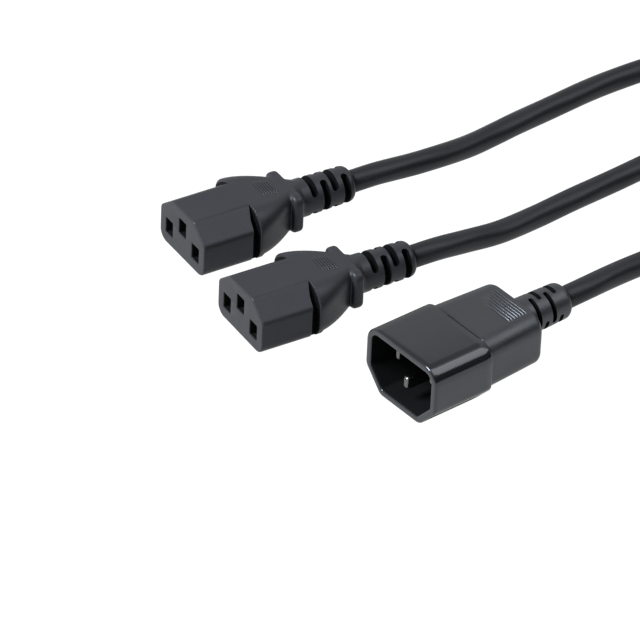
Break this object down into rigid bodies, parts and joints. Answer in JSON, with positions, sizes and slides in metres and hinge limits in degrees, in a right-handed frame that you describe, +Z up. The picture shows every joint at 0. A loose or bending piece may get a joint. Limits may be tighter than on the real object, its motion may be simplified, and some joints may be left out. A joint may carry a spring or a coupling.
{
  "type": "power cord splitter",
  "caption": "Short black mains splitter lead: an inlet plug with a hollow shroud feeds moulded outlet sockets through a Y junction; slotted strain reliefs and round cords.",
  "frame": {"origin": "middle of the junction's underside, on the surface that everything lies on", "axes": "+X from the sockets' faces towards the junction's tail end, along the plug; +Z up; +Y towards the socket further from the plug"},
  "size_m": [0.3337, 0.1147, 0.0201],
  "materials": {
    "overmould": "fine matte black PVC",
    "carrier": "black moulded insulator",
    "contact_metal": "bare brass",
    "shroud": "smooth satin-gloss hard plastic",
    "pin_metal": "bright nickel plating",
    "cord_sheath": "smooth black PVC cord sheath"
  },
  "bodies": {
    "root": {"socket_a_overmould": "overmould", "socket_a_carrier": "carrier", "socket_a_live_contact": "contact_metal", "socket_a_neutral_contact": "contact_metal", "socket_a_earth_contact": "contact_metal", "socket_b_overmould": "overmould", "socket_b_carrier": "carrier", "socket_b_live_contact": "contact_metal", "socket_b_neutral_contact": "contact_metal", "socket_b_earth_contact": "contact_metal", "plug_shroud": "shroud", "plug_overmould": "overmould", "plug_live_pin": "pin_metal", "plug_neutral_pin": "pin_metal", "plug_earth_pin": "pin_metal", "junction_overmould": "overmould", "leg_a_cord": "cord_sheath", "leg_b_cord": "cord_sheath", "tail_cord": "cord_sheath"}
  },
  "joints": []
}
